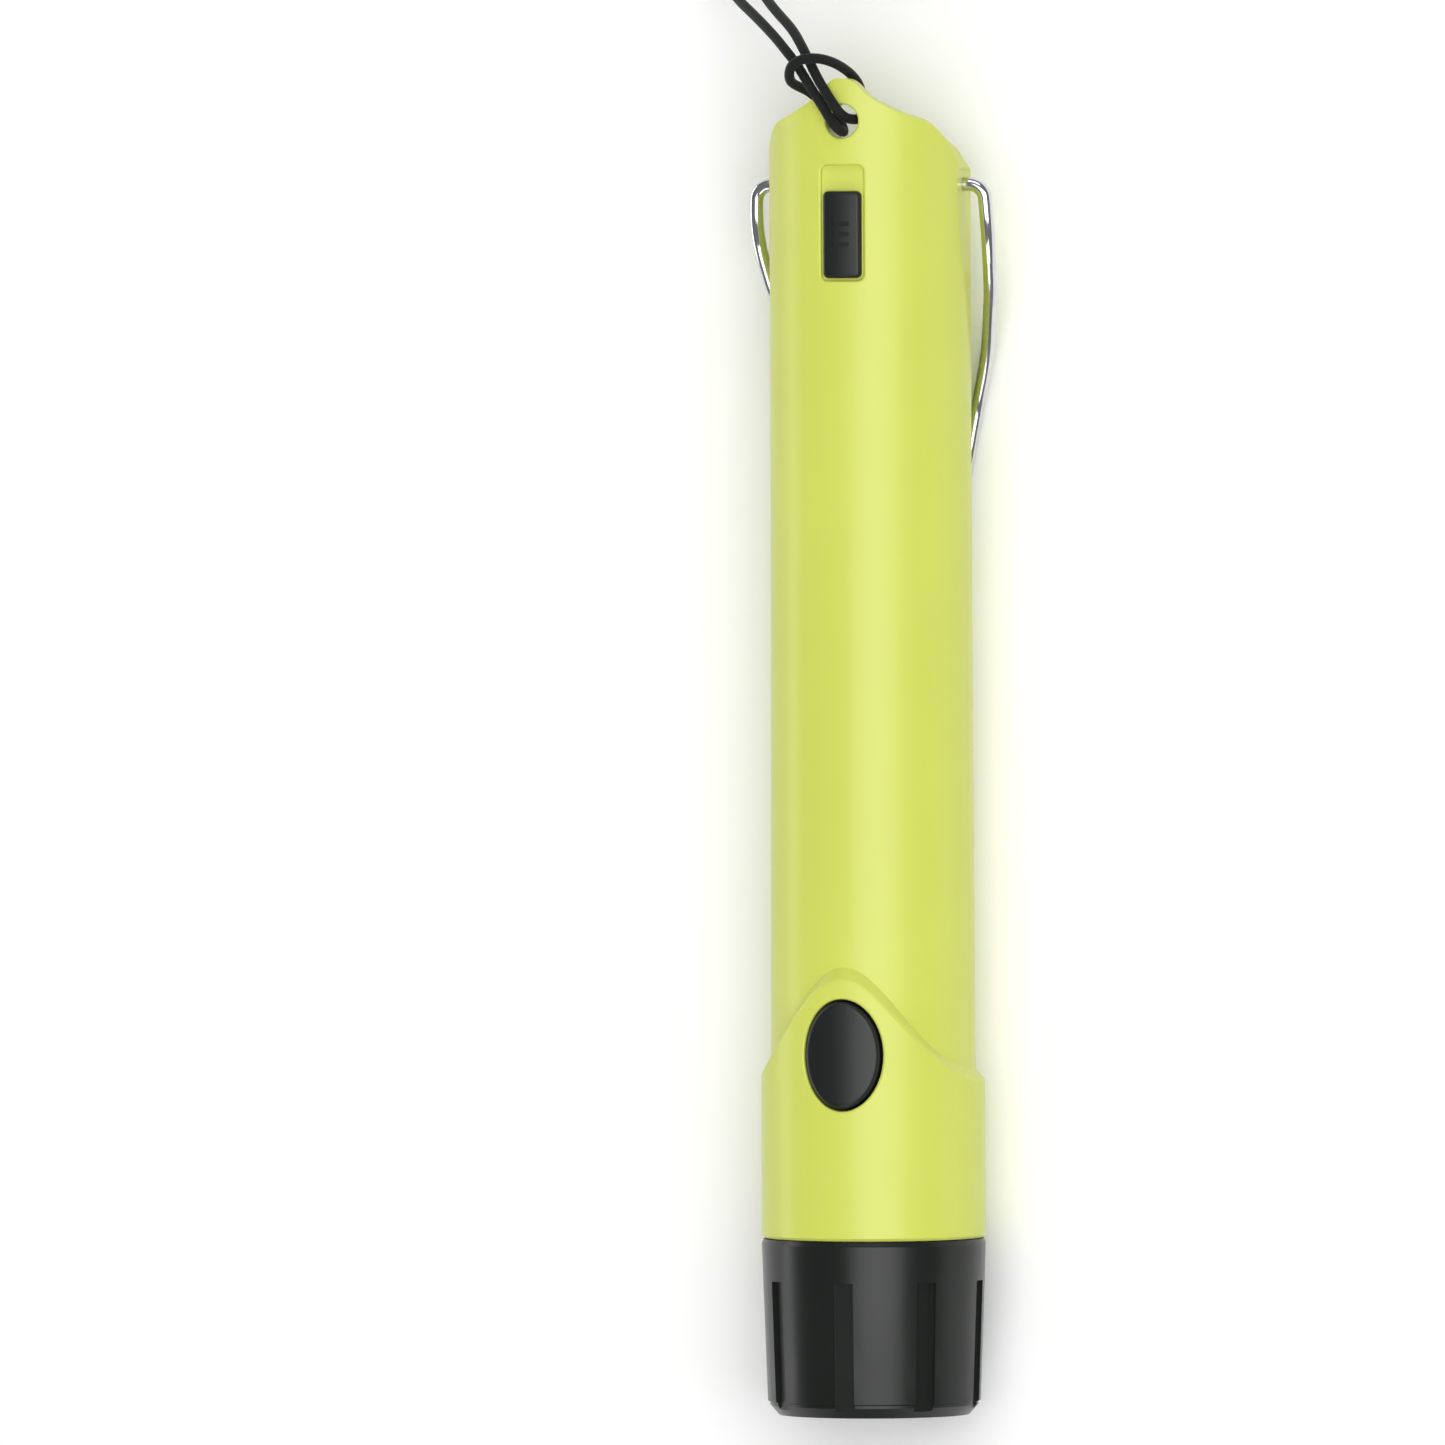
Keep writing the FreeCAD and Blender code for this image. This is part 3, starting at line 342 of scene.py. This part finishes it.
HANK_BACK = [
    (-0.02950, 0.15250, 0.00087), (-0.02950, 0.15860, 0.00090), (-0.03095, 0.16340, 0.00125),
    (-0.03095, 0.16740, 0.00125), (-0.02950, 0.17200, 0.00090), (-0.02950, 0.17760, 0.00087),
    (-0.03320, 0.18130, 0.00087), (-0.03860, 0.18130, 0.00087), (-0.04230, 0.17760, 0.00087),
    (-0.04230, 0.17200, 0.00090), (-0.04080, 0.16740, 0.00125), (-0.04080, 0.16340, 0.00125),
    (-0.04230, 0.15860, 0.00130), (-0.04230, 0.15340, 0.00230), (-0.03800, 0.14910, 0.00270),
    (-0.03200, 0.14910, 0.00270), (-0.02770, 0.15340, 0.00230), (-0.02770, 0.15860, 0.00130),
    (-0.02920, 0.16340, 0.00125), (-0.02920, 0.16740, 0.00125), (-0.02770, 0.17300, 0.00090),
    (-0.02760, 0.17800, 0.00087), (-0.02940, 0.18240, 0.00095), (-0.03230, 0.18500, 0.00130),
    (-0.03410, 0.18600, 0.00160)]


def add_piece(name, vertices, faces):
    """A smooth mesh in the scene, under its own name."""
    mesh = bpy.data.meshes.new(name)
    mesh.from_pydata(vertices, [], faces)
    mesh.polygons.foreach_set("use_smooth", [True] * len(mesh.polygons))
    mesh.update()
    piece = bpy.data.objects.new(name, mesh)
    bpy.context.scene.collection.objects.link(piece)
    return piece


def ring_faces(rings, size, closed):
    """Faces from each ring of points to the next; an open row of rings gets two ends."""
    faces = []
    for index in range(rings if closed else rings - 1):
        here, there = index * size, (index + 1) % rings * size
        for step in range(size):
            after = (step + 1) % size
            faces.append((here + step, here + after, there + after, there + step))
    if not closed:
        faces.append(tuple(range(size))[::-1])
        faces.append(tuple(range((rings - 1) * size, rings * size)))
    return faces


def plan_middle(node, height):
    """The middle of a CAD node seen from above, at the height given."""
    low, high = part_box(node)
    return Vector(((low.x + high.x) / 2, (low.y + high.y) / 2, height))


def route_curve():
    data = bpy.data.curves.new("lanyard_route", "CURVE")
    data.dimensions = "3D"
    data.resolution_u = ROUTE_STEPS
    spline = data.splines.new("NURBS")
    points = HANK_OUT + ROUTE + HANK_BACK
    spline.points.add(len(points) - 1)
    for target, point in zip(spline.points, points):
        target.co = (*point, 1)
    spline.order_u = ROUTE_ORDER
    spline.use_endpoint_u = True
    curve = bpy.data.objects.new("lanyard_route", data)
    bpy.context.scene.collection.objects.link(curve)
    return curve


def followed(curve):
    """The points that a curve's own spline passes through."""
    mesh = bpy.data.meshes.new_from_object(curve)
    line = [vertex.co.copy() for vertex in mesh.vertices]
    bpy.data.meshes.remove(mesh)
    return line


def evenly(line, step):
    """The same line with its points a fixed distance apart."""
    points = [line[0]]
    left = step
    for a, b in zip(line, line[1:]):
        length = (b - a).length
        while left <= length:
            points.append(a.lerp(b, left / length))
            left += step
        left -= length
    points.append(line[-1])
    return points


def sides_of(line):
    """Two directions across the line at each point, carried along without twisting."""
    across = []
    side = None
    for index, point in enumerate(line):
        ahead = line[min(index + 1, len(line) - 1)] - line[max(index - 1, 0)]
        ahead.normalize()
        if side is None:
            side = ahead.orthogonal()
        side = (side - ahead * side.dot(ahead)).normalized()
        across.append((side, ahead.cross(side)))
    return across


def braid_height(around, along):
    """Relief of a round braid: two sets of strands that cross over and under each other."""
    turn = along / BRAID_PITCH * 2 * math.pi
    half = BRAID_STRANDS / 2
    one = math.cos(half * (around + turn))
    other = math.cos(half * (around - turn))
    return max(one, other)


def braided_tube(name, line, closed=False):
    """Round cord along a line, with the relief of its braid."""
    vertices = []
    along = 0.0
    sides = sides_of(line)
    for index, point in enumerate(line):
        if index:
            along += (point - line[index - 1]).length
        first, second = sides[index]
        for step in range(CORD_SIDES):
            around = 2 * math.pi * step / CORD_SIDES
            relief = BRAID_RELIEF * (braid_height(around, along) - BRAID_MIDDLE)
            outward = first * math.cos(around) + second * math.sin(around)
            vertices.append(point + outward * (CORD_D / 2 * (1 + relief)))
    return add_piece(name, vertices, ring_faces(len(line), CORD_SIDES, closed))


def knot_line():
    """A trefoil, the shape of an overhand knot drawn tight."""
    middle = plan_middle("lanyard_knot", KNOT_Z)
    points = []
    for index in range(KNOT_POINTS):
        turn = 2 * math.pi * index / KNOT_POINTS
        x = math.sin(turn) + 2 * math.sin(2 * turn)
        y = math.cos(turn) - 2 * math.cos(2 * turn)
        z = -math.sin(3 * turn)
        points.append(middle + Vector((x * KNOT_SIZE_X, y * KNOT_SIZE_Y, z * KNOT_SIZE_Z)))
    return points


def tie_strip(name):
    """Flat strip wrapped round the waist of the hank."""
    middle = plan_middle("lanyard_tie", TIE_Z)
    flat_x, flat_z = TIE_HALF_X - TIE_CORNER, TIE_HALF_Z - TIE_CORNER
    outline = []
    for cx, cz, start in ((1, 1, 0), (-1, 1, 90), (-1, -1, 180), (1, -1, 270)):
        for step in range(TIE_CORNER_STEPS + 1):
            turn = math.radians(start + 90 * step / TIE_CORNER_STEPS)
            outline.append(Vector((cx * flat_x + TIE_CORNER * math.cos(turn), 0,
                                   cz * flat_z + TIE_CORNER * math.sin(turn))))
    section = [(-1, 0), (-TIE_EDGE, 1), (0, TIE_CROWN), (TIE_EDGE, 1), (1, 0),
               (TIE_EDGE, -1), (0, -1), (-TIE_EDGE, -1)]
    vertices = []
    for index, point in enumerate(outline):
        ahead = outline[(index + 1) % len(outline)] - outline[index - 1]
        outward = Vector((ahead.z, 0, -ahead.x)).normalized()
        for along, out in section:
            shift = Vector((0, along * TIE_WIDTH / 2, 0)) + outward * out * TIE_HALF_THICKNESS
            vertices.append(middle + point + shift)
    return add_piece(name, vertices, ring_faces(len(outline), len(section), closed=True))


def make_lanyard(materials):
    curve = route_curve()
    line = evenly(followed(curve), CORD_STEP)
    bpy.data.objects.remove(curve)
    cord = braided_tube("lanyard_braid", line)
    knot = braided_tube("lanyard_knot_turns", evenly(knot_line(), CORD_STEP), closed=True)
    tie = tie_strip("lanyard_tie_strip")
    for piece in (cord, knot, tie):
        piece.data.materials.append(materials["black_cord"])
        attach(piece, "housing")
    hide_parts("lanyard_cord", "lanyard_hank")
    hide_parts("lanyard_knot")
    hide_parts("lanyard_tie")


# ---------------------------------------------------------------- light and floor
FLOOR_HALF = 6.0
FLOOR_Z = -0.0001          # just under the hank, which lies at Z 0
FLOOR_WHITE = 0.97
FLOOR_ROUGHNESS = 0.9
WORLD_STRENGTH = 0.20

# Name, place and aim in metres, width and length in metres, power in watts.
LIGHTS = [
    ("overhead", (0.40, 0.0, 1.10), (0, 0, 0), 0.8, 1.2, 9.1),
    ("overhead_core", (0.39, 0.0, 1.07), (0, 0, 0), 0.8, 0.7, 2.0),
    ("far_end", (0.1, 1.5, 1.2), (0, 0, 0), 1.4, 0.7, 8.4),
    ("near_end", (0.1, -1.5, 1.2), (0, 0, 0), 1.4, 0.7, 8.4),
    ("left", (-1.3, 0.0, 0.16), (0, 0, 0.02), 1.8, 0.30, 5.4),
]


def area_light(name, place, aim, width, length, power):
    data = bpy.data.lights.new(name, "AREA")
    data.shape = "RECTANGLE"
    data.size = width
    data.size_y = length
    data.energy = power
    light = bpy.data.objects.new(name, data)
    light.location = place
    light.rotation_euler = (Vector(place) - Vector(aim)).to_track_quat("Z", "Y").to_euler()
    bpy.context.scene.collection.objects.link(light)


def make_floor():
    half = FLOOR_HALF
    corners = [(-half, -half, 0), (half, -half, 0), (half, half, 0), (-half, half, 0)]
    floor = add_piece("floor", corners, [(0, 1, 2, 3)])
    floor.location.z = FLOOR_Z
    material, shader = new_material("floor")
    shader.inputs["Base Color"].default_value = (FLOOR_WHITE, FLOOR_WHITE, FLOOR_WHITE, 1)
    shader.inputs["Roughness"].default_value = FLOOR_ROUGHNESS
    floor.data.materials.append(material)


def make_light():
    world = bpy.data.worlds.new("world")
    world.use_nodes = True
    background = world.node_tree.nodes["Background"]
    background.inputs["Color"].default_value = (1, 1, 1, 1)
    background.inputs["Strength"].default_value = WORLD_STRENGTH
    bpy.context.scene.world = world
    for row in LIGHTS:
        area_light(*row)
    bpy.context.scene.view_settings.view_transform = "Standard"


make_camera()
materials = make_materials()
make_lanyard(materials)
dress_cad_nodes(materials)
make_floor()
make_light()
